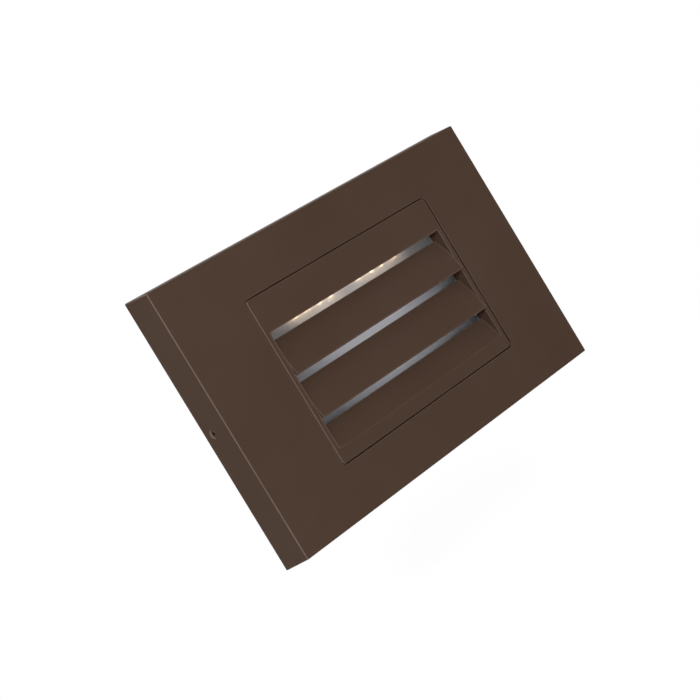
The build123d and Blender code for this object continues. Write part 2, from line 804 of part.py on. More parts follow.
def terminal_screw(x, up):
    """A clamp screw at the bottom of its well."""
    plane = facing(x, up, terminal_seat)
    head = extrude(plane * Circle(terminal_screw_head), screw_head_height)
    head = slotted(head, plane.offset(screw_head_height), 3 * terminal_screw_head)
    return head + extrude(plane * Circle(screw_radius), terminal_screw_tip - terminal_seat)


def terminal_block_screw(x, up):
    """A screw that holds the terminal block to the back plate."""
    return pan_screw(facing(x, up, terminal_seat), terminal_seat - plate_front + screw_grip)


def ground_screw():
    """The hex washer-head screw of the ground lead."""
    plane = facing(ground_x, ground_up, plate_front + ring_thickness)
    washer = extrude(plane * Circle(ground_washer_radius), ground_washer_thickness)
    hexagon = RegularPolygon(ground_head_across_flats / 2, 6, major_radius=False)
    head = extrude(plane * hexagon, ground_head_height)
    head = slotted(head, plane.offset(ground_head_height), 2 * ground_washer_radius)
    return washer + head + extrude(plane * Circle(ground_screw_radius), -ring_thickness - screw_grip)


def ground_ring_terminal():
    """The crimped ring on the end of the ground lead."""
    near, far = plate_front, plate_front + ring_thickness
    ring = peg(ring_radius, near, far, ground_x, ground_up)
    tongue_length = barrel_start + barrel_floor - ground_up
    ring += slab(2 * barrel_radius, tongue_length, near, far, ground_x, ground_up + tongue_length / 2)
    barrel = Plane(origin=(ground_x, -barrel_out, barrel_start), z_dir=(0, 0, 1))
    ring += extrude(barrel * Circle(barrel_radius), barrel_length)
    ring -= extrude(barrel.offset(barrel_floor) * Circle(lead_radius + thread_gap), barrel_length)
    return ring - peg(ground_screw_radius + thread_gap, near - over, far + over, ground_x, ground_up)


# ---------------------------------------------------------------- leads


def input_lead(exit_x, run_up, pole_x):
    """A long lead: out of the driver's lower end, along the bottom and up into the terminal block."""
    points = [
        (exit_x, -driver_end + driver_wall, lead_out),
        (exit_x, run_up, lead_out),
        (pole_x, run_up, lead_out),
        (pole_x, terminal_bottom + lead_entry, lead_out),
    ]
    return lead(points, lead_radius, lead_bend)


def output_lead(i):
    """A thin lead from the LED board's connector round to the driver's upper end."""
    start_up = led_level + signal_lead_spacing / 2 - i * signal_lead_spacing
    column = signal_column - (1 - i) * signal_column_spacing
    run = signal_run + (1 - i) * signal_run_spacing
    exit_x = signal_exit + (1 - i) * signal_exit_spacing
    points = [
        (signal_start, start_up, signal_out),
        (column, start_up, signal_out),
        (column, run, signal_out),
        (exit_x, run, signal_out),
        (exit_x, driver_end - driver_wall, signal_out),
    ]
    return lead(points, signal_lead_radius, signal_lead_bend)


def ground_lead():
    """The short green lead from the terminal block to the ring terminal."""
    points = [
        (ground_x, terminal_bottom + lead_entry, lead_out),
        (ground_x, terminal_bottom - ground_lead_tail, lead_out),
        (ground_x, barrel_start + barrel_length + 2 * barrel_floor, barrel_out),
        (ground_x, barrel_start + barrel_floor, barrel_out),
    ]
    return lead(points, lead_radius, ground_lead_bend)


def lead_clip(x, middle):
    """A push-in clip with two open channels for the long leads."""
    far = lead_out + lead_radius + clip_cap
    body = slab(clip_length, lead_spacing + 2 * clip_border, plate_front, far, x, middle)
    for up in (neutral_run, line_run):
        start = Plane(origin=(x - clip_length, -lead_out, up), z_dir=(1, 0, 0))
        body -= extrude(start * Circle(lead_radius + thread_gap), 2 * clip_length)
        body -= slab(2 * clip_length, clip_slit, lead_out, far + over, x, up)
    return body + peg(clip_pin_radius, plate_back - clip_pin_past, plate_front, x, middle)


# ---------------------------------------------------------------- nodes

nodes = {
    "face_cover": face_cover(),
    "side_screw_left": side_screw(-1),
    "side_screw_right": side_screw(1),
    "louvre_insert": louvre_insert(),
    "insert_gasket": insert_gasket(),
    "insert_nuts": group(insert_nut(*place) for place in stud_places),
    "lens_gasket": lens_gasket(),
    "lens": lens(),
    "lens_frame": lens_frame(),
    "lens_frame_screws": group(lens_frame_screw(*place) for place in lens_screw_places),
    "back_plate": back_plate(),
    "wall_gasket": wall_gasket(),
    "wire_grommet": wire_grommet(),
    "led_bracket": led_bracket(),
    "thermal_pad": thermal_pad(),
    "led_board": led_board(),
    "led_packages": group(led_package(x) for x in led_places),
    "led_board_connector": led_board_connector(),
    "led_board_screws": group(led_board_screw(*place) for place in board_screw_places),
    "reflector": reflector(),
    "reflector_screws": group(reflector_screw(*place) for place in reflector_screw_places),
    "driver_case": driver_case(),
    "driver_lid": driver_lid(),
    "driver_circuit_board": driver_circuit_board(),
    "driver_screws": group(driver_screw(*place) for place in driver_screw_places),
    "terminal_block": terminal_block(),
    "terminal_screws": group(terminal_screw(*place) for place in well_places),
    "terminal_block_screws": group(terminal_block_screw(*place) for place in terminal_mount_places),
    "ground_screw": ground_screw(),
    "ground_ring_terminal": ground_ring_terminal(),
    "driver_input_lead_line": input_lead(line_exit, line_run, pole_places[0]),
    "driver_input_lead_neutral": input_lead(neutral_exit, neutral_run, pole_places[1]),
    "driver_output_lead_positive": output_lead(0),
    "driver_output_lead_negative": output_lead(1),
    "ground_lead": ground_lead(),
    "lead_clips": group(lead_clip(*place) for place in clip_places),
}

os.makedirs("parts", exist_ok=True)
for name, shape in nodes.items():
    export_step(shape, f"parts/{name}.step")
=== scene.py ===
"""Finishes, small hardware and stage for a wall-mounted louvred step light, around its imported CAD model.

Lengths are in metres unless a name says otherwise. +X is the viewer's right, +Z is up and the wall is Y = 0,
so the light faces -Y.
"""

import math

import bmesh
import bpy
from bpy.props import FloatProperty, FloatVectorProperty, PointerProperty
from mathutils import Matrix, Vector


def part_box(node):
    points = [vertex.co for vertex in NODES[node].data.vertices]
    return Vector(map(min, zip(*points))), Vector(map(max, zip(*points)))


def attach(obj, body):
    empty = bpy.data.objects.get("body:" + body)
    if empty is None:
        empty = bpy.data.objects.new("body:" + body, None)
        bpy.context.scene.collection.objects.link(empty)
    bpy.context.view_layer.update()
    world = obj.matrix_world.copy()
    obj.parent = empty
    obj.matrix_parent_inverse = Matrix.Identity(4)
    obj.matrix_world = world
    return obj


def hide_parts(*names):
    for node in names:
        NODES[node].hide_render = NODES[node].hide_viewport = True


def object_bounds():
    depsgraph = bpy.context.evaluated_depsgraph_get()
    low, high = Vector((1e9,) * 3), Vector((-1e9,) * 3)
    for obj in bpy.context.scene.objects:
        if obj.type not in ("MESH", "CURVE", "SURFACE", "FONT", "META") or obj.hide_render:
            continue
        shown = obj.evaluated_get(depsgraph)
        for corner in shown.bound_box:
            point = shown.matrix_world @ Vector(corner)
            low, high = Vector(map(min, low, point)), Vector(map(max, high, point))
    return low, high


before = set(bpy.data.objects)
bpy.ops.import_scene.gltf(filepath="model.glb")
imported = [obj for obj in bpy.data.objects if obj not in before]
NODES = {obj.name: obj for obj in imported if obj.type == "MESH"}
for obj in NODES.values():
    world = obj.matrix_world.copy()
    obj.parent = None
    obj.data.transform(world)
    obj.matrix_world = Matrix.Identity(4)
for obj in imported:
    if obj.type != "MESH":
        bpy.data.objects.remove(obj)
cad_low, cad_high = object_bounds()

bl_info = {
    "name": "Louvred Step Light",
    "version": (1, 0, 0),
    "blender": (4, 5, 0),
    "location": "3D View > Sidebar > Step Light",
    "description": "Finishes, small hardware and stage of a wall-mounted louvred step light",
    "category": "Object",
}

MM = 0.001


def linear(code):
    """An sRGB hex colour as linear red, green, blue and alpha."""
    shares = [int(code[i : i + 2], 16) / 255 for i in (1, 3, 5)]
    return [s / 12.92 if s <= 0.04045 else ((s + 0.055) / 1.055) ** 2.4 for s in shares] + [1.0]


# ---------------------------------------------------------------- what a user would change


def colour(name, description, code):
    """A colour property whose default is an sRGB hex value."""
    return FloatVectorProperty(
        name=name, description=description, subtype="COLOR", size=4, min=0, max=1, default=linear(code)
    )


def length(name, description, default):
    """A length property in metres."""
    return FloatProperty(name=name, description=description, default=default, min=0, unit="LENGTH")


def amount(name, description, default, unit="NONE"):
    """A property for a plain strength, or for a power in watts."""
    return FloatProperty(name=name, description=description, default=default, min=0, unit=unit)


def angle(name, description, degrees):
    """An angle property whose default is in degrees."""
    return FloatProperty(name=name, description=description, default=math.radians(degrees), subtype="ANGLE")


class StepLightFinishes(bpy.types.PropertyGroup):
    """Colours and small sizes of the light's finishes."""

    coat: colour("Powder coat", "Colour of the cover and the louvred insert", "#4F3D32")
    # painted highlight: this paler colour is laid on edges and upright bends as a painted highlight, and is
    # also the paler tone that drifts over the faces
    pale_tone_and_highlight: colour("Worn coat", "Colour of the coat where it thins on the edges", "#7D6A60")
    peel: length("Orange peel", "Width of the soft waves in the powder coat", 1.8 * MM)
    glass: colour("Lens", "Tint of the lens", "#E4E6EC")
    phosphor: colour("Phosphor", "Colour of the gel over the LED chips", "#F2C24E")
    glow: amount("LED glow", "Strength of the light from each LED", 330.0)
    # painted glow: the lens's own emission, strongest in its middle
    lens_glow: amount("Lens glow", "Strength of the scattered light in the middle of the lens", 0.07)
    spangle: length("Zinc spangle", "Width of the crystals on the galvanised sheet", 6 * MM)


class StepLightStage(bpy.types.PropertyGroup):
    """The floor, the lamps and the camera."""

    floor: colour("Floor", "Colour of the floor", "#F2F2F2")
    floor_lift: amount("Floor lift", "How much paler the camera sees the floor", 0.62)
    floor_reach: length("Floor reach", "Where the floor has faded into the white background", 1.1)
    floor_drop: length("Floor drop", "Gap between the light and the floor under it", 0.16)
    sky: amount("Room light", "Strength of the even light all round", 0.12)
    front: amount("Front lamp", "Power of the lamp in front", 39.0, "POWER")
    side: amount("Side lamp", "Power of the lamp on the left", 2.2, "POWER")
    back: amount("Back lamps", "Power of each lamp behind", 12.0, "POWER")
    camera_place: FloatVectorProperty(
        name="Camera place",
        description="Where the camera stands",
        subtype="TRANSLATION",
        unit="LENGTH",
        default=(-0.4050, -0.6493, 0.0390),
    )
    camera_turn: angle("Camera turn", "How far the camera looks to the right of straight at the wall", 31.075)
    camera_tilt: angle("Camera tilt", "How far the camera looks down", 1.371)
    camera_roll: angle("Camera roll", "How far the light leans to the left in the picture", 31.187)
    camera_shift: FloatVectorProperty(
        name="Camera shift",
        description="How far the view moves to the right and up, in picture widths",
        size=2,
        default=(0.0268, -0.0480),
    )
    focal_length: FloatProperty(
        name="Focal length", description="Focal length on a 36 mm sensor", default=63.277, unit="CAMERA"
    )


# ---------------------------------------------------------------- materials


def add(tree, kind, inputs=None, **settings):
    """A shader node with its settings, and with constants or links on its inputs."""
    node = tree.nodes.new("ShaderNode" + kind)
    for name, value in settings.items():
        setattr(node, name, value)
    for socket, value in (inputs or {}).items():
        if isinstance(value, bpy.types.NodeSocket):
            tree.links.new(value, node.inputs[socket])
        else:
            node.inputs[socket].default_value = value
    return node


def start(name, **inputs):
    """A new material with constants on its shader: the material, its node tree and the shader."""
    made = bpy.data.materials.new(name)
    made.use_nodes = True
    shader = made.node_tree.nodes["Principled BSDF"]
    for socket, value in inputs.items():
        shader.inputs[socket.replace("_", " ")].default_value = value
    return made, made.node_tree, shader


def link(tree, shader, **sockets):
    """Links outputs to the shader's inputs."""
    for socket, output in sockets.items():
        tree.links.new(output, shader.inputs[socket.replace("_", " ")])


def repeats(tree, size, stretch=(1, 1, 1)):
    """Object coordinates counted in repeats of a pattern of a real size in metres."""
    place = add(tree, "TexCoord")
    scale = [s / size for s in stretch]
    return add(tree, "Mapping", {"Vector": place.outputs["Object"], "Scale": scale}).outputs["Vector"]


def mottle(tree, size, low, high, stretch=(1, 1, 1)):
    """A slow, cloudy value between two limits."""
    cloud = add(tree, "TexNoise", {"Vector": repeats(tree, size, stretch), "Scale": 1.0, "Detail": 3.0})
    limits = {"Value": cloud.outputs["Fac"], "From Min": 0.3, "From Max": 0.7, "To Min": low, "To Max": high}
    return add(tree, "MapRange", limits).outputs["Result"]


def layered(tree, base, *layers):
    """A colour with other colours laid over it, each given with its share before it."""
    for share, over in layers:
        base = add(tree, "Mix", {0: share, 6: base, 7: over}, data_type="RGBA").outputs[2]
    return base


def relief(tree, *layers):
    """A bumped normal from heights between 0 and 1, each with its depth in metres, laid on one another."""
    below = {}
    for height, depth in layers:
        bump = add(tree, "Bump", {"Height": height, "Distance": depth, "Strength": 1.0, **below})
        below = {"Normal": bump.outputs["Normal"]}
    return below["Normal"]


def edges(tree, radius, low=0.02, high=0.25):
    """1 on convex and concave edges within a radius, 0 on flats.

    low and high are how far the rounded normal turns away where the mask begins and where it is full.
    """
    soft = add(tree, "Bevel", {"Radius": radius}, samples=6).outputs["Normal"]
    flat = add(tree, "NewGeometry").outputs["Normal"]
    alike = add(tree, "VectorMath", {0: soft, 1: flat}, operation="DOT_PRODUCT").outputs["Value"]
    limits = {"Value": alike, "From Min": 1 - low, "From Max": 1 - high, "To Min": 0, "To Max": 1}
    return add(tree, "MapRange", limits).outputs["Result"]


def bends(tree, last, past):
    """1 on rounded upright bends, 0 on flats and on what runs level.

    The share of the normal along X says how far a bend has turned: the mask falls from last to past.
    """
    facing = add(tree, "SeparateXYZ", {"Vector": add(tree, "TexCoord").outputs["Normal"]})
    turned_by = add(tree, "Math", {0: facing.outputs["X"]}, operation="ABSOLUTE").outputs["Value"]
    begins = add(tree, "MapRange", {"Value": turned_by, "From Min": 0.1, "From Max": 0.45})
    ends = {"Value": turned_by, "From Min": last, "From Max": past, "To Min": 1, "To Max": 0}
    both = {0: begins.outputs["Result"], 1: add(tree, "MapRange", ends).outputs["Result"]}
    return add(tree, "Math", both, operation="MULTIPLY").outputs["Value"]


def outward(tree):
    """1 on what faces away from the wall, 0 on the sides of gaps and slots."""
    facing = add(tree, "SeparateXYZ", {"Vector": add(tree, "TexCoord").outputs["Normal"]})
    limits = {"Value": facing.outputs["Y"], "From Min": -0.5, "From Max": -0.8, "To Min": 0, "To Max": 1}
    return add(tree, "MapRange", limits).outputs["Result"]


def narrow_gaps(tree, width):
    """1 deep in gaps narrower than a width, 0 on open faces and in plain inside corners."""
    # the mask for painted shade in narrow gaps
    open_sky = add(tree, "AmbientOcclusion", {"Distance": width}, samples=8).outputs["AO"]
    limits = {"Value": open_sky, "From Min": 0.25, "From Max": 0.5, "To Min": 1, "To Max": 0}
    return add(tree, "MapRange", limits).outputs["Result"]


def powder_coat(finishes, name, corner, last, past):
    """Polyester powder coat, sprayed and baked on die-cast aluminium: matt, with very soft orange peel.

    The pale lines on upright bends and on corners are a painted highlight, where a lamp would catch the
    rounded edges. corner is how far a line reaches from a sharp corner, and last and past are where the line
    on a rounded bend ends.
    """
    coat, tree, shader = start(name, Specular_IOR_Level=0.04)
    # the pigment drifts a little over 60 mm, as it does on a large sprayed face
    drift = mottle(tree, 60 * MM, 0.0, 0.06)
    # painted highlight: sharp corners on outward faces and rounded upright bends are lightened in patches, as
    # if a lamp caught them
    on_corners = {0: edges(tree, corner, 0.005, 0.09), 1: outward(tree)}
    corners = add(tree, "Math", on_corners, operation="MULTIPLY").outputs["Value"]
    thin = add(tree, "Math", {0: bends(tree, last, past), 1: corners}, operation="MAXIMUM").outputs["Value"]
    patchy = {0: thin, 1: mottle(tree, 40 * MM, 0.55, 1.0)}
    edge_highlight = add(tree, "Math", patchy, operation="MULTIPLY").outputs["Value"]
    # painted shade: gaps narrower than 2 mm are darkened to a deep brown, where shade falls in them
    gaps, gap_shade = narrow_gaps(tree, 2.0 * MM), linear("#1E140E")
    lighter = finishes.pale_tone_and_highlight
    # baked powder flows into waves about 2 mm wide and a hundredth of a millimetre high
    wave = add(tree, "TexNoise", {"Vector": repeats(tree, finishes.peel), "Scale": 1.0, "Detail": 1.0})
    # the cured grains, about 0.2 mm, are drawn at 0.35 mm so that they show
    grain = add(tree, "TexNoise", {"Vector": repeats(tree, 0.35 * MM), "Scale": 1.0, "Detail": 2.0})
    link(
        tree,
        shader,
        Base_Color=layered(tree, finishes.coat, (drift, lighter), (edge_highlight, lighter), (gaps, gap_shade)),
        Roughness=mottle(tree, 14 * MM, 0.5, 0.53),
        Normal=relief(tree, (wave.outputs["Fac"], 0.02 * MM), (grain.outputs["Fac"], 0.004 * MM)),
    )
    return coat


def glass(finishes):
    """Pressed borosilicate glass, ribbed and lightly frosted: it scatters the LEDs into soft spots."""
    lens, tree, shader = start(
        "pressed_prismatic_glass",
        Base_Color=finishes.glass,
        Roughness=0.42,
        IOR=1.47,
        Transmission_Weight=0.93,
        Subsurface_Weight=1.0,
        Subsurface_Radius=(1.0, 1.0, 1.0),
        Subsurface_Scale=0.003,
        Emission_Color=linear("#F2F0F1"),
    )
    # painted glow: the lens itself emits light that stands for LED light bouncing between lens and board; it
    # is strongest in the middle and fades sooner upright than along
    place = add(tree, "TexCoord").outputs["Object"]
    drawn_out = add(tree, "VectorMath", {0: place, 1: (1.0, 0.0, 1.2)}, operation="MULTIPLY")
    off = add(tree, "VectorMath", {0: drawn_out.outputs["Vector"]}, operation="LENGTH").outputs["Value"]
    fade = {"Value": off, "From Min": 20 * MM, "From Max": 62 * MM, "To Min": finishes.lens_glow, "To Max": 0}
    # pressing leaves slow ripples about 6 mm wide
    ripple = add(tree, "TexNoise", {"Vector": repeats(tree, 6 * MM), "Scale": 1.0, "Detail": 1.0})
    link(
        tree,
        shader,
        Emission_Strength=add(tree, "MapRange", fade).outputs["Result"],
        Normal=relief(tree, (ripple.outputs["Fac"], 0.05 * MM)),
    )
    return lens


def bright_metal(name, code, rough):
    """Bright metal with fine marks from turning or rolling."""
    metal, tree, shader = start(name, Base_Color=linear(code), Metallic=1.0, Roughness=rough)
    # tool marks about 0.1 mm apart are drawn at 0.4 mm so that they show
    marks = {"Vector": repeats(tree, 0.4 * MM, (1, 0.2, 1)), "Scale": 1.0, "Detail": 3.0}
    mark = add(tree, "TexNoise", marks)
    link(
        tree,
        shader,
        Roughness=mottle(tree, 2 * MM, rough - 0.08, rough + 0.1),
        Normal=relief(tree, (mark.outputs["Fac"], 0.004 * MM)),
    )
    return metal


def galvanised(finishes):
    """Hot-dip galvanised sheet steel: flat zinc crystals that differ in brightness and gloss."""
    sheet, tree, shader = start("galvanised_sheet_steel", Metallic=1.0, Roughness=0.4)
    cells = add(tree, "TexVoronoi", {"Vector": repeats(tree, finishes.spangle), "Scale": 1.0})
    # each crystal's own red, green and blue set its brightness, its gloss and its height
    crystal = add(tree, "SeparateColor", {"Color": cells.outputs["Color"]}).outputs
    shade = {0: crystal["Red"], 1: 0.45, 2: mottle(tree, 1.5 * MM, 0.0, 0.35)}
    share = add(tree, "Math", shade, operation="MULTIPLY_ADD").outputs["Value"]
    gloss = {"Value": crystal["Green"], "To Min": 0.38, "To Max": 0.48}
    link(
        tree,
        shader,
        Base_Color=layered(tree, linear("#A8ADB1"), (share, linear("#BFC4C7"))),
        Roughness=add(tree, "MapRange", gloss).outputs["Result"],
        Normal=relief(tree, (crystal["Blue"], 0.01 * MM)),
    )
    return sheet


def extruded_aluminium():
    """Mill-finish extruded aluminium: fine die lines run along its length."""
    metal, tree, shader = start("mill_finish_aluminium", Base_Color=linear("#C9CBCE"), Metallic=1.0)
    # die lines are 0.1 to 0.5 mm apart
    lines = {"Vector": repeats(tree, 0.4 * MM, (0.01, 1, 1)), "Scale": 1.0, "Detail": 3.0}
    line = add(tree, "TexNoise", lines)
    link(
        tree,
        shader,
        Roughness=mottle(tree, 6 * MM, 0.3, 0.42, (0.05, 1, 1)),
        Normal=relief(tree, (line.outputs["Fac"], 0.006 * MM)),
    )
    return metal


def grained(name, code, rough, grain, depth, spread=0.12, **inputs):
    """Moulded plastic or rubber, or paint or dye on metal, with a fine grain that wears paler on edges.

    grain and depth are the grain's width and depth in millimetres, and spread is how much paler it wears.
    """
    skin, tree, shader = start(name, Roughness=rough, **inputs)
    base = linear(code)
    paler = [c + (1 - c) * spread for c in base[:3]] + [1.0]
    pits = add(tree, "TexNoise", {"Vector": repeats(tree, grain * MM), "Scale": 1.0, "Detail": 2.0})
    lighter = {0: edges(tree, 0.3 * MM), 1: 0.5, 2: mottle(tree, 12 * MM, 0.0, 0.25)}
    share = add(tree, "Math", lighter, operation="MULTIPLY_ADD").outputs["Value"]
    link(
        tree,
        shader,
        Base_Color=layered(tree, base, (share, paler)),
        Roughness=mottle(tree, 5 * MM, rough - 0.06, rough + 0.06),
        Normal=relief(tree, (pits.outputs["Fac"], depth * MM)),
    )
    return skin


def foam():
    """Closed-cell neoprene foam, die-cut: skinned faces and open cells about 0.6 mm wide at the cut edges."""
    pad, tree, shader = start("closed_cell_neoprene_foam", Base_Color=linear("#242425"), Roughness=0.9)
    cells = add(tree, "TexVoronoi", {"Vector": repeats(tree, 0.6 * MM), "Scale": 1.0})
    cloud = mottle(tree, 3 * MM, 0.0, 1.0)
    link(
        tree,
        shader,
        Base_Color=layered(tree, linear("#1E1E1F"), (cloud, linear("#303031"))),
        Normal=relief(tree, (cells.outputs["Distance"], 0.12 * MM)),
    )
    return pad


def solder_mask():
    """White solder mask, cured over an aluminium-core board: glossy over raised copper tracks."""
    mask, tree, shader = start("white_solder_mask", Roughness=0.3)
    # copper tracks 2 mm wide and 0.035 mm high run along the board under the mask
    bands = add(tree, "TexWave", {"Vector": repeats(tree, 6 * MM), "Scale": 0.5}, bands_direction="Z")
    step = {"Value": bands.outputs["Fac"], "From Min": 0.45, "From Max": 0.55}
    tracks = add(tree, "MapRange", step).outputs["Result"]
    link(
        tree,
        shader,
        Base_Color=layered(tree, linear("#E9E9E4"), (tracks, linear("#F1F1ED"))),
        Roughness=mottle(tree, 8 * MM, 0.26, 0.38),
        Normal=relief(tree, (tracks, 0.035 * MM)),
    )
    return mask


def gel(finishes):
    """Silicone gel with yellow phosphor, cast over blue chips: it glows warm where the chips light it."""
    filling, tree, shader = start(
        "phosphor_gel",
        Base_Color=finishes.phosphor,
        Roughness=0.25,
        Emission_Color=linear("#FFDDAE"),
        Emission_Strength=finishes.glow,
    )
    link(tree, shader, Roughness=mottle(tree, 0.8 * MM, 0.2, 0.35))
    return filling


def circuit_board():
    """Glass-epoxy board under green solder mask, with its components: glossy, with the weave just showing."""
    board, tree, shader = start("green_glass_epoxy_board", Roughness=0.35)
    # the glass cloth's threads are about 0.5 mm apart
    weave = add(tree, "TexChecker", {"Vector": repeats(tree, 1 * MM), "Scale": 2.0})
    patches = add(tree, "TexNoise", {"Vector": repeats(tree, 2.5 * MM), "Scale": 1.0})
    link(
        tree,
        shader,
        Base_Color=layered(tree, linear("#1F5A38"), (patches.outputs["Fac"], linear("#2E7A4C"))),
        Normal=relief(tree, (weave.outputs["Fac"], 0.01 * MM)),
    )
    return board


# ---------------------------------------------------------------- meshes


OUTWARD = Matrix.Rotation(math.radians(90), 4, "X")  # local +Z to world -Y
INWARD = Matrix.Rotation(math.radians(-90), 4, "X")  # local +Z to world +Y
SHARPEST_SMOOTH = math.radians(35)  # edges that turn further than this stay sharp


def dress(nodes, material):
    """Gives CAD nodes a material."""
    for name in nodes:
        mesh = NODES[name].data
        mesh.materials.clear()
        mesh.materials.append(material)


def solids(node):
    """The boxes of a node's separate solids, from the left and then from below."""
    mesh = bmesh.new()
    mesh.from_mesh(NODES[node].data)
    mesh.verts.ensure_lookup_table()
    # faces that meet share their corners after this, so each solid is one island
    bmesh.ops.remove_doubles(mesh, verts=mesh.verts, dist=1e-7)
    left, boxes = set(mesh.verts), []
    while left:
        island, edge = set(), [left.pop()]
        while edge:
            vert = edge.pop()
            island.add(vert)
            for other in (e.other_vert(vert) for e in vert.link_edges):
                if other in left:
                    left.discard(other)
                    edge.append(other)
        points = [v.co.copy() for v in island]
        low = Vector([min(p[i] for p in points) for i in range(3)])
        high = Vector([max(p[i] for p in points) for i in range(3)])
        boxes.append((low, high))
    mesh.free()
    # places are compared to 0.1 mm
    return sorted(boxes, key=lambda box: (round(box[0].x, 4), round(box[0].z, 4)))


def turned(profile, segments=32):
    """A closed solid turned about Z from (radius, height) points that start and end on the axis."""
    mesh = bmesh.new()
    angles = [2 * math.pi * i / segments for i in range(segments)]
    rings = []
    for radius, height in profile:
        if radius == 0:
            rings.append([mesh.verts.new((0, 0, height))])
        else:
            ring = [(radius * math.cos(a), radius * math.sin(a), height) for a in angles]
            rings.append([mesh.verts.new(point) for point in ring])
    for low, high in zip(rings, rings[1:]):
        for i in range(segments):
            j = (i + 1) % segments
            corners = [low[i % len(low)], low[j % len(low)], high[j % len(high)], high[i % len(high)]]
            face = list(dict.fromkeys(corners))
            if len(face) > 2:
                mesh.faces.new(face)
    bmesh.ops.recalc_face_normals(mesh, faces=mesh.faces)
    return mesh


def threaded(radius, pitch, depth, bottom, top, segments, steps):
    """A threaded rod about Z whose ends fade into plain cones. steps is the number of rings in a pitch."""
    count = max(4, round((top - bottom) / pitch * steps))
    wall = [(radius, bottom + (top - bottom) * i / count) for i in range(count + 1)]
    rod = turned([(0, bottom), *wall, (0, top)], segments)
    fade = pitch * 0.8
    for vert in rod.verts:
        x, y, z = vert.co
        if math.hypot(x, y) < 1e-9:  # on the axis
            continue
        turn = (z / pitch - math.atan2(y, x) / (2 * math.pi)) % 1
        groove = depth * abs(2 * turn - 1)
        end = max(0, 1 - (z - bottom) / fade, 1 - (top - z) / fade)
        reach = radius - max(groove, depth * end)
        vert.co.x, vert.co.y = x / radius * reach, y / radius * reach
    return rod


def cut(solid, tool):
    """One mesh with another taken away. Both are used up."""
    pair = []
    for name, mesh in (("solid", solid), ("tool", tool)):
        data = bpy.data.meshes.new(name)
        mesh.to_mesh(data)
        mesh.free()
        pair.append(bpy.data.objects.new(name, data))
        bpy.context.scene.collection.objects.link(pair[-1])
    taken = pair[0].modifiers.new("cut", "BOOLEAN")
    taken.object = pair[1]
    taken.operation = "DIFFERENCE"
    taken.solver = "EXACT"
    shape = pair[0].evaluated_get(bpy.context.evaluated_depsgraph_get())
    result = bmesh.new()
    result.from_mesh(shape.to_mesh())
    for part in pair:
        data = part.data
        bpy.data.objects.remove(part)
        bpy.data.meshes.remove(data)
    return result


def pieces(name, parts, material, body, replaced=()):
    """One object from meshes at several places, riding on a body. parts are (mesh, matrix) pairs."""
    whole = bmesh.new()
    for mesh, place in parts:
        data = bpy.data.meshes.new(name)
        mesh.to_mesh(data)
        data.transform(place)
        whole.from_mesh(data)
        bpy.data.meshes.remove(data)
    data = bpy.data.meshes.new(name)
    whole.to_mesh(data)
    whole.free()
    data.materials.append(material)
    data.shade_smooth()
    data.set_sharp_from_angle(angle=SHARPEST_SMOOTH)
    made = bpy.data.objects.new(name, data)
    bpy.context.scene.collection.objects.link(made)
    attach(made, body)
    if replaced:
        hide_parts(*replaced)


HEAD_RADIUS, HEAD_HEIGHT = 2.6 * MM, 1.9 * MM  # of an M3 pan-head screw


def pan_head(length):
    """An M3 pan-head screw with a cross recess: its head, with the seat at height 0, and its thread below."""
    upright = 0.35  # the share of the head's height under the dome
    rises = [math.radians(10 * i) for i in range(9)]
    heights = [HEAD_HEIGHT * (upright + (1 - upright) * math.sin(a)) for a in rises]
    dome = [(HEAD_RADIUS * math.cos(a), height) for a, height in zip(rises, heights)]
    head = turned([(0, 0), (HEAD_RADIUS, 0), *dome, (0, HEAD_HEIGHT)], 40)
    # the driver's wings narrow to their feet, and stand out of the head while they cut
    span, width, tall, depth, foot = 3.0 * MM, 0.62 * MM, 1.8 * MM, 1.25 * MM, 0.45
    for turn in (0, 90):
        wing = bmesh.new()
        bmesh.ops.create_cube(wing, size=1)
        for vert in wing.verts:
            x, y, z = vert.co
            narrow = foot if z < 0 else 1.0
            vert.co = (x * span * narrow, y * width, HEAD_HEIGHT - depth + (z + 0.5) * tall)
        wing.transform(Matrix.Rotation(math.radians(turn), 4, "Z"))
        head = cut(head, wing)
    radius, pitch, thread, into_head = 1.5 * MM, 0.5 * MM, 0.27 * MM, 0.05 * MM
    return head, threaded(radius, pitch, thread, -length, into_head, 24, 5)


def hardware(name, node, material, body, facing):
    """Pan-head screws in place of a node's plain ones."""
    spots = solids(node)
    low, high = spots[0]
    head, rod = pan_head(high.y - low.y - HEAD_HEIGHT)
    parts = []
    for low, high in spots:
        seat = low.y + HEAD_HEIGHT if facing is OUTWARD else high.y - HEAD_HEIGHT
        middle = Vector(((low.x + high.x) / 2, seat, (low.z + high.z) / 2))
        place = Matrix.Translation(middle) @ facing
        parts += [(head, place), (rod, place)]
    pieces(name, parts, material, body, [node])
    head.free()
    rod.free()


def led_package(size):
    """A white LED body with a round well, and the gel that fills the well. Its back is at height 0."""
    top, soft_edge = size.y, 0.08 * MM
    floor, foot, mouth = 0.25 * MM, 0.95 * MM, 1.15 * MM  # the well's floor, and its radius there and above
    body = bmesh.new()
    bmesh.ops.create_cube(body, size=1)
    for vert in body.verts:
        x, y, z = vert.co
        vert.co = (x * size.x, y * size.z, (z + 0.5) * top)
    bmesh.ops.bevel(body, geom=body.edges[:], offset=soft_edge, segments=2, profile=0.5, affect="EDGES")
    # the cutter keeps its flare and stands out of the body
    out = 0.1 * MM
    flare = (mouth - foot) / (top - floor)
    well = turned([(0, floor), (foot, floor), (mouth + flare * out, top + out), (0, top + out)])
    # the gel creeps up the wall and lies a little lower in the middle
    rim_dip, middle_dip = 0.02 * MM, 0.07 * MM
    skin = [
        (mouth * share, top - rim_dip - (middle_dip - rim_dip) * (1 - share**2))
        for share in (0.98, 0.8, 0.5, 0.25)
    ]
    filling = turned([(0, floor), (foot, floor), *skin, (0, top - middle_dip)])
    return cut(body, well), filling


# ---------------------------------------------------------------- pieces of the light


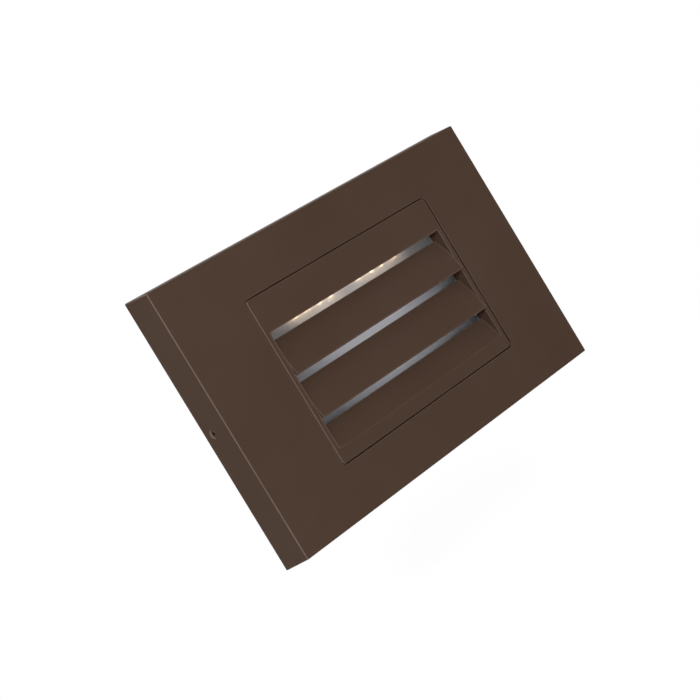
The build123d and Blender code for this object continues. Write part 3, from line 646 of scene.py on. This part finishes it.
class STEPLIGHT_OT_cover(bpy.types.Operator):
    """Coat the cover and the louvred insert, and finish their gaskets"""

    bl_idname = "steplight.cover"
    bl_label = "Cover and Louvres"

    def execute(self, context):
        finishes = context.scene.step_light_finishes
        # the cover's sides lean in by 6 degrees, so they still count as flat
        cover = powder_coat(finishes, "matt_bronze_powder_coat", corner=0.6 * MM, last=0.87, past=0.99)
        insert = powder_coat(finishes, "matt_bronze_insert_coat", corner=1.3 * MM, last=0.6, past=0.8)
        silicone = grained(
            "translucent_silicone", "#C4C6C4", rough=0.55, grain=0.5, depth=0.01, Subsurface_Weight=0.1
        )
        dress(["face_cover"], cover)
        dress(["louvre_insert"], insert)
        dress(["insert_gasket", "lens_gasket"], silicone)
        return {"FINISHED"}


class STEPLIGHT_OT_set_screws(bpy.types.Operator):
    """Make the two socket set screws in the cover's sides"""

    bl_idname = "steplight.set_screws"
    bl_label = "Side Set Screws"

    def execute(self, context):
        plain = bright_metal("black_oxide_steel", "#4E3D34", rough=0.42)
        pitch, thread = 0.8 * MM, 0.4 * MM  # of an M5 screw
        # a socket for a 2.5 mm key, and the cone that its drill leaves
        corner, socket_depth, drill_depth = 1.44 * MM, 2.1 * MM, 2.6 * MM
        for side, turn in (("left", -90), ("right", 90)):
            node = "side_screw_" + side
            low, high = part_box(node)
            size = high - low
            end, clear = size.x / 2, size.x
            rod = threaded(size.z / 2, pitch, thread, -end, end, 36, 8)
            socket = [(0, end - drill_depth), (corner, end - socket_depth), (corner, clear), (0, clear)]
            screw = cut(rod, turned(socket, 6))
            place = Matrix.Translation((low + high) / 2) @ Matrix.Rotation(math.radians(turn), 4, "Y")
            pieces("set_screw_" + side, [(screw, place)], plain, node, [node])
            screw.free()
        return {"FINISHED"}


class STEPLIGHT_OT_lens(bpy.types.Operator):
    """Finish the lens, its frame and the insert's nuts, and make the frame's screws"""

    bl_idname = "steplight.lens"
    bl_label = "Lens and Frame"

    def execute(self, context):
        finishes = context.scene.step_light_finishes
        dress(["lens"], glass(finishes))
        dress(["lens_frame"], galvanised(finishes))
        plain = bright_metal("passivated_stainless_steel", "#BDBEBC", rough=0.3)
        hardware("frame_screws", "lens_frame_screws", plain, "cover", INWARD)
        dress(["insert_nuts"], bright_metal("bright_zinc_plate", "#C4C6C8", rough=0.28))
        return {"FINISHED"}


class STEPLIGHT_OT_back_plate(bpy.types.Operator):
    """Finish the back plate, the wall gasket and the grommet"""

    bl_idname = "steplight.back_plate"
    bl_label = "Back Plate"

    def execute(self, context):
        rubber = grained("black_epdm_rubber", "#1E1E1F", rough=0.7, grain=0.4, depth=0.02)
        dress(["back_plate"], galvanised(context.scene.step_light_finishes))
        dress(["wall_gasket"], foam())
        dress(["wire_grommet"], rubber)
        return {"FINISHED"}


class STEPLIGHT_OT_leds(bpy.types.Operator):
    """Finish the LED board, its bracket, the reflector and the lead clips, and make the LEDs"""

    bl_idname = "steplight.leds"
    bl_label = "LEDs and Reflector"

    def execute(self, context):
        finishes = context.scene.step_light_finishes
        pad = grained("silicone_gap_pad", "#96A0AF", rough=0.8, grain=0.5, depth=0.02)
        nylon = grained("natural_white_nylon", "#ECEBE4", rough=0.42, grain=0.25, depth=0.006)
        paint = grained(
            "white_reflector_paint", "#F2F2F0", rough=0.5, grain=1.2, depth=0.012, spread=0.02
        )
        white = grained("white_ppa_plastic", "#ECECE8", rough=0.4, grain=0.2, depth=0.004, spread=0.03)
        dress(["led_bracket"], extruded_aluminium())
        dress(["thermal_pad"], pad)
        dress(["led_board"], solder_mask())
        dress(["led_board_connector", "lead_clips"], nylon)
        dress(["reflector"], paint)
        plain = bright_metal("plated_board_screw_steel", "#BDBEBC", rough=0.3)
        hardware("board_screws", "led_board_screws", plain, "wall_plate", OUTWARD)
        hardware("reflector_fixings", "reflector_screws", plain, "wall_plate", OUTWARD)
        spots = solids("led_packages")
        low, high = spots[0]
        body, filling = led_package(high - low)
        backs = [Vector(((low.x + high.x) / 2, high.y, (low.z + high.z) / 2)) for low, high in spots]
        places = [Matrix.Translation(back) @ OUTWARD for back in backs]
        bodies = [(body, place) for place in places]
        fillings = [(filling, place) for place in places]
        pieces("led_bodies", bodies, white, "wall_plate", ["led_packages"])
        pieces("led_gels", fillings, gel(finishes), "wall_plate")
        body.free()
        filling.free()
        return {"FINISHED"}


class STEPLIGHT_OT_driver(bpy.types.Operator):
    """Finish the driver and make its screws"""

    bl_idname = "steplight.driver"
    bl_label = "Driver"

    def execute(self, context):
        case = grained("black_polycarbonate", "#242426", rough=0.5, grain=0.5, depth=0.02)
        plain = bright_metal("zinc_plated_driver_steel", "#C4C6C8", rough=0.28)
        dress(["driver_case", "driver_lid"], case)
        dress(["driver_circuit_board"], circuit_board())
        hardware("driver_fixings", "driver_screws", plain, "wall_plate", OUTWARD)
        return {"FINISHED"}


class STEPLIGHT_OT_wiring(bpy.types.Operator):
    """Finish the terminal block, the ground terminal and the leads, and make the block's screws"""

    bl_idname = "steplight.wiring"
    bl_label = "Wiring"

    def execute(self, context):
        block = grained("ivory_thermoset", "#E2DCC8", rough=0.45, grain=0.4, depth=0.012)
        dyed = grained("green_dyed_zinc_plate", "#34764A", rough=0.35, grain=0.4, depth=0.006, Metallic=0.8)
        plain = bright_metal("zinc_plated_block_steel", "#C4C6C8", rough=0.28)
        dress(["terminal_block"], block)
        dress(["terminal_screws"], bright_metal("nickel_plated_brass", "#C9C2AE", rough=0.25))
        dress(["ground_screw"], dyed)
        dress(["ground_ring_terminal"], bright_metal("tinned_copper", "#BEBAB2", rough=0.35))
        hardware("block_screws", "terminal_block_screws", plain, "wall_plate", OUTWARD)
        leads = {
            "driver_input_lead_line": ("black_pvc_insulation", "#1E1E1F"),
            "driver_input_lead_neutral": ("white_pvc_insulation", "#E8E8E4"),
            "driver_output_lead_positive": ("red_pvc_insulation", "#AA221E"),
            "driver_output_lead_negative": ("black_thin_pvc_insulation", "#222224"),
            "ground_lead": ("green_pvc_insulation", "#28783E"),
        }
        for node, (name, code) in leads.items():
            dress([node], grained(name, code, rough=0.32, grain=0.8, depth=0.008))
        return {"FINISHED"}


# ---------------------------------------------------------------- stage


LAMP_DISTANCE = 2.5
SENSOR_WIDTH = 36  # millimetres

# each lamp's name, the stage's power for it, its degrees to the left of the light's front and above it, and
# its width
LAMPS = (
    ("front_lamp", "front", 31, 18, 0.6),
    ("side_lamp", "side", 78, 10, 0.6),
    # these two stand behind the wall's plane: they light the back, the sides and the top, but not the front
    ("back_lamp_left", "back", 165, 30, 1.2),
    ("back_lamp_right", "back", -110, 30, 1.2),
)


def lamp(name, power, turn, rise, width):
    """A large square lamp that looks at the light, from degrees to the left of its front and above it."""
    light = bpy.data.lights.new(name, "AREA")
    light.shape = "SQUARE"
    light.size = width
    light.energy = power
    made = bpy.data.objects.new(name, light)
    turn, rise = math.radians(turn), math.radians(rise)
    away = Vector((-math.sin(turn) * math.cos(rise), -math.cos(turn) * math.cos(rise), math.sin(rise)))
    made.location = away * LAMP_DISTANCE
    made.rotation_euler = (-away).to_track_quat("-Z", "Y").to_euler()
    bpy.context.scene.collection.objects.link(made)


def seen_directly(tree):
    """1 for rays from the camera and for mirrored or transmitted ones, which all see the background."""
    path = add(tree, "LightPath").outputs
    mirrored = {0: path["Is Camera Ray"], 1: path["Is Glossy Ray"]}
    first = add(tree, "Math", mirrored, operation="MAXIMUM").outputs["Value"]
    return add(tree, "Math", {0: first, 1: path["Is Transmission Ray"]}, operation="MAXIMUM").outputs["Value"]


class STEPLIGHT_OT_stage(bpy.types.Operator):
    """Set up the floor, the lamps, the background and the camera"""

    bl_idname = "steplight.stage"
    bl_label = "Stage"

    def execute(self, context):
        scene, stage = context.scene, context.scene.step_light_stage
        self.background(scene, stage)
        self.floor(scene, stage)
        self.camera(scene, stage)
        for name, power, turn, rise, width in LAMPS:
            lamp(name, getattr(stage, power), turn, rise, width)
        scene.view_settings.view_transform = "Standard"
        return {"FINISHED"}

    def background(self, scene, stage):
        world = scene.world or bpy.data.worlds.new("room")
        scene.world = world
        world.use_nodes = True
        tree = world.node_tree
        tree.nodes.clear()
        room = add(tree, "Background", {"Color": linear("#FFFFFF"), "Strength": stage.sky})
        white = add(tree, "Background", {"Color": linear("#FFFFFF"), "Strength": 1.0})
        halves = {0: seen_directly(tree), 1: room.outputs["Background"], 2: white.outputs["Background"]}
        mixed = add(tree, "MixShader", halves)
        add(tree, "OutputWorld", {"Surface": mixed.outputs["Shader"]})

    def floor(self, scene, stage):
        half, level = 6.0, cad_low.z - stage.floor_drop
        data = bpy.data.meshes.new("floor")
        corners = [(x, y, level) for x, y in ((-half, -half), (half, -half), (half, half), (-half, half))]
        data.from_pydata(corners, [], [(0, 1, 2, 3)])
        made = bpy.data.objects.new("floor", data)
        scene.collection.objects.link(made)
        # matt painted board: it keeps the light's shadow, and fades into the white background further out
        board, tree, shader = start(
            "matt_white_board",
            Base_Color=stage.floor,
            Roughness=0.9,
            Specular_IOR_Level=0.0,
            Emission_Color=linear("#FFFFFF"),
        )
        seen = seen_directly(tree)
        lift = add(tree, "Math", {0: seen, 1: stage.floor_lift}, operation="MULTIPLY")
        link(tree, shader, Emission_Strength=lift.outputs["Value"])
        place = add(tree, "TexCoord").outputs["Object"]
        away = add(tree, "VectorMath", {0: place}, operation="LENGTH").outputs["Value"]
        fades_from = 0.35
        reach = {"Value": away, "From Min": fades_from, "From Max": stage.floor_reach}
        far = add(tree, "MapRange", reach, interpolation_type="SMOOTHSTEP").outputs["Result"]
        share = add(tree, "Math", {0: far, 1: seen}, operation="MULTIPLY").outputs["Value"]
        white = add(tree, "Emission", {"Color": linear("#FFFFFF"), "Strength": 1.0})
        mixed = add(tree, "MixShader", {0: share, 1: shader.outputs["BSDF"], 2: white.outputs["Emission"]})
        tree.links.new(mixed.outputs["Shader"], tree.nodes["Material Output"].inputs["Surface"])
        data.materials.append(board)

    def camera(self, scene, stage):
        data = bpy.data.cameras.new("camera")
        data.lens = stage.focal_length
        data.sensor_width = SENSOR_WIDTH
        data.shift_x, data.shift_y = stage.camera_shift
        made = bpy.data.objects.new("camera", data)
        turn, tilt, roll = stage.camera_turn, stage.camera_tilt, stage.camera_roll
        look = Vector((math.sin(turn) * math.cos(tilt), math.cos(turn) * math.cos(tilt), -math.sin(tilt)))
        level = look.cross(Vector((0, 0, 1))).normalized()
        upright = level.cross(look)
        across = level * math.cos(roll) - upright * math.sin(roll)
        up = level * math.sin(roll) + upright * math.cos(roll)
        rows = [(across[i], up[i], -look[i]) for i in range(3)]
        made.matrix_world = Matrix.Translation(stage.camera_place) @ Matrix(rows).to_4x4()
        data.clip_start, data.clip_end = 0.01, 50
        scene.collection.objects.link(made)
        scene.camera = made


class STEPLIGHT_PT_panel(bpy.types.Panel):
    """Lists the light's pieces and what can be changed"""

    bl_label = "Step Light"
    bl_idname = "STEPLIGHT_PT_panel"
    bl_space_type = "VIEW_3D"
    bl_region_type = "UI"
    bl_category = "Step Light"

    def draw(self, context):
        column = self.layout.column()
        for group in (context.scene.step_light_finishes, context.scene.step_light_stage):
            for name in group.bl_rna.properties.keys():
                if name not in ("rna_type", "name"):
                    column.prop(group, name)
        for operator in OPERATORS:
            column.operator(operator.bl_idname)


OPERATORS = (
    STEPLIGHT_OT_cover,
    STEPLIGHT_OT_set_screws,
    STEPLIGHT_OT_lens,
    STEPLIGHT_OT_back_plate,
    STEPLIGHT_OT_leds,
    STEPLIGHT_OT_driver,
    STEPLIGHT_OT_wiring,
    STEPLIGHT_OT_stage,
)
CLASSES = (StepLightFinishes, StepLightStage, *OPERATORS, STEPLIGHT_PT_panel)


def register():
    for made in CLASSES:
        bpy.utils.register_class(made)
    bpy.types.Scene.step_light_finishes = PointerProperty(type=StepLightFinishes)
    bpy.types.Scene.step_light_stage = PointerProperty(type=StepLightStage)


def unregister():
    del bpy.types.Scene.step_light_stage
    del bpy.types.Scene.step_light_finishes
    for made in reversed(CLASSES):
        bpy.utils.unregister_class(made)


def main():
    """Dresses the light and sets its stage."""
    register()
    for operator in OPERATORS:
        group, name = operator.bl_idname.split(".")
        getattr(getattr(bpy.ops, group), name)()


if __name__ == "__main__":
    main()
